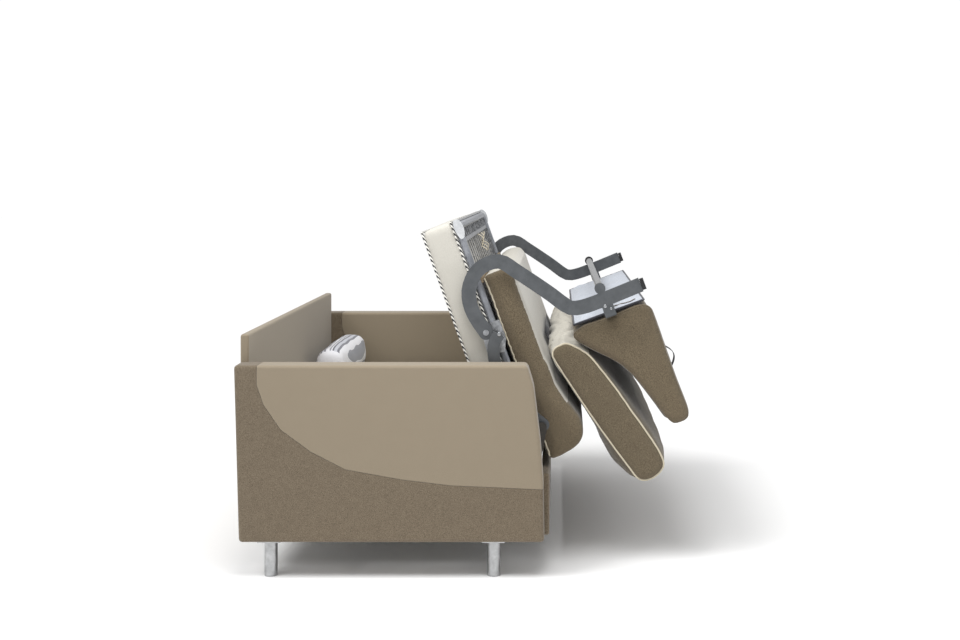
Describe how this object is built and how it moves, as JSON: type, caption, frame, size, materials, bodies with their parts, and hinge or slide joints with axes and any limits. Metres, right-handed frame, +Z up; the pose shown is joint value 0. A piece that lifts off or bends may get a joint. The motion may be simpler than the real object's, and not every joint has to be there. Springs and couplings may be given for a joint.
{
  "type": "sofa bed",
  "caption": "Sofa bed caught half unfolded: a folding bed frame with seat cushion and backrest stands up over a fixed head section between upholstered arms.",
  "frame": {"origin": "on the floor, under the middle of the bounding box", "axes": "+Z up, +X towards the front of the seat, +Y along the width of the sofa"},
  "size_m": [1.48, 1.72, 1.1499],
  "materials": {
    "tubePaint": "satin grey paint",
    "steel": "zinc plated",
    "creamCloth": "plain woven ticking",
    "brownFabric": "heathered weave",
    "timber": "plain planed",
    "chrome": "satin chrome",
    "whitePlastic": "matte",
    "barPaint": "satin dark blue-grey paint",
    "strapCloth": "soft webbing",
    "darkWebbing": "tight webbing",
    "dustCloth": "thin nonwoven",
    "rubber": "matte",
    "taupeFabric": "heathered weave",
    "lightFabric": "smooth weave",
    "stripeCloth": "striped satin weave"
  },
  "bodies": {
    "base": {"arm_cover_right": "taupeFabric", "arm_cover_left": "taupeFabric", "arm_inlay_right": "lightFabric", "arm_inlay_left": "lightFabric", "rear_panel": "lightFabric", "front_fascia": "taupeFabric", "leg_rear_right": "chrome", "leg_rear_left": "chrome", "leg_front_right": "chrome", "leg_front_left": "chrome", "cross_beam_rear": "tubePaint", "cross_beam_front": "tubePaint", "mechanism_plate_right": "steel", "mechanism_plate_left": "steel", "pivot_pin_right": "steel", "pivot_pin_left": "steel", "link_pin_rear_right": "steel", "link_pin_rear_left": "steel", "link_pin_front_right": "steel", "link_pin_front_left": "steel"},
    "folding_bed": {"seat_frame": "tubePaint", "seat_net": "steel", "seat_mattress": "creamCloth", "seat_block": "brownFabric", "seat_bearer_rear": "timber", "seat_bearer_front": "timber", "mattress_retainer": "chrome", "mattress_straps": "strapCloth", "frame_end_cap_right": "whitePlastic", "frame_end_cap_left": "whitePlastic", "fold_bracket_right": "steel", "fold_bracket_left": "steel", "swing_arm_right": "barPaint", "swing_arm_left": "barPaint", "back_stud_right": "steel", "back_stud_left": "steel"},
    "back_unit": {"backrest": "brownFabric", "backrest_dust_cloth": "dustCloth", "cross_tube": "chrome", "pull_strap": "darkWebbing", "back_bar_right": "barPaint", "back_bar_left": "barPaint", "foot_pad_right": "rubber", "foot_pad_left": "rubber"},
    "cushion": {"cushion_webbing": "darkWebbing", "seat_cushion": "brownFabric"},
    "rear_links": {"head_link_rear_right": "steel", "head_link_rear_left": "steel", "head_pin_right": "steel", "head_pin_left": "steel"},
    "head_section": {"head_frame": "tubePaint", "head_net": "steel", "head_mattress": "creamCloth", "pillow": "stripeCloth", "head_ear_rear_right": "steel", "head_ear_rear_left": "steel", "head_ear_front_right": "steel", "head_ear_front_left": "steel"},
    "front_links": {"head_link_front_right": "steel", "head_link_front_left": "steel"}
  },
  "joints": [
    {"name": "fold", "type": "hinge", "parent": "base", "child": "folding_bed", "pos_m": [0.25198, 0, 0.4755], "axis": [0, 1, 0], "range_deg": [-70, 54]},
    {"name": "back_turn", "type": "hinge", "parent": "folding_bed", "child": "back_unit", "pos_m": [0.06297, 0, 0.77678], "axis": [0, 1, 0], "range_deg": [-90, 0]},
    {"name": "cushion_settle", "type": "hinge", "parent": "folding_bed", "child": "cushion", "pos_m": [1.98659, 0, 1.48198], "axis": [0, 1, 0], "range_deg": [0, 11]},
    {"name": "rear_link", "type": "hinge", "parent": "base", "child": "rear_links", "pos_m": [-0.35272, 0, 0.2838], "axis": [0, 1, 0], "range_deg": [-37.5, 28.9]},
    {"name": "head_level", "type": "hinge", "parent": "rear_links", "child": "head_section", "pos_m": [-0.6021, 0, 0.332], "axis": [0, 1, 0], "range_deg": [-28.9, 37.5]},
    {"name": "front_link", "type": "hinge", "parent": "base", "child": "front_links", "pos_m": [0.04728, 0, 0.2838], "axis": [0, 1, 0], "range_deg": [-37.5, 28.9]}
  ],
  "couplings": [
    {"joint": "rear_link", "follows": "fold", "ratio": 0.53444},
    {"joint": "front_link", "follows": "fold", "ratio": 0.53444},
    {"joint": "head_level", "follows": "fold", "ratio": -0.53444},
    {"joint": "cushion_settle", "follows": "back_turn", "ratio": -0.12222}
  ]
}
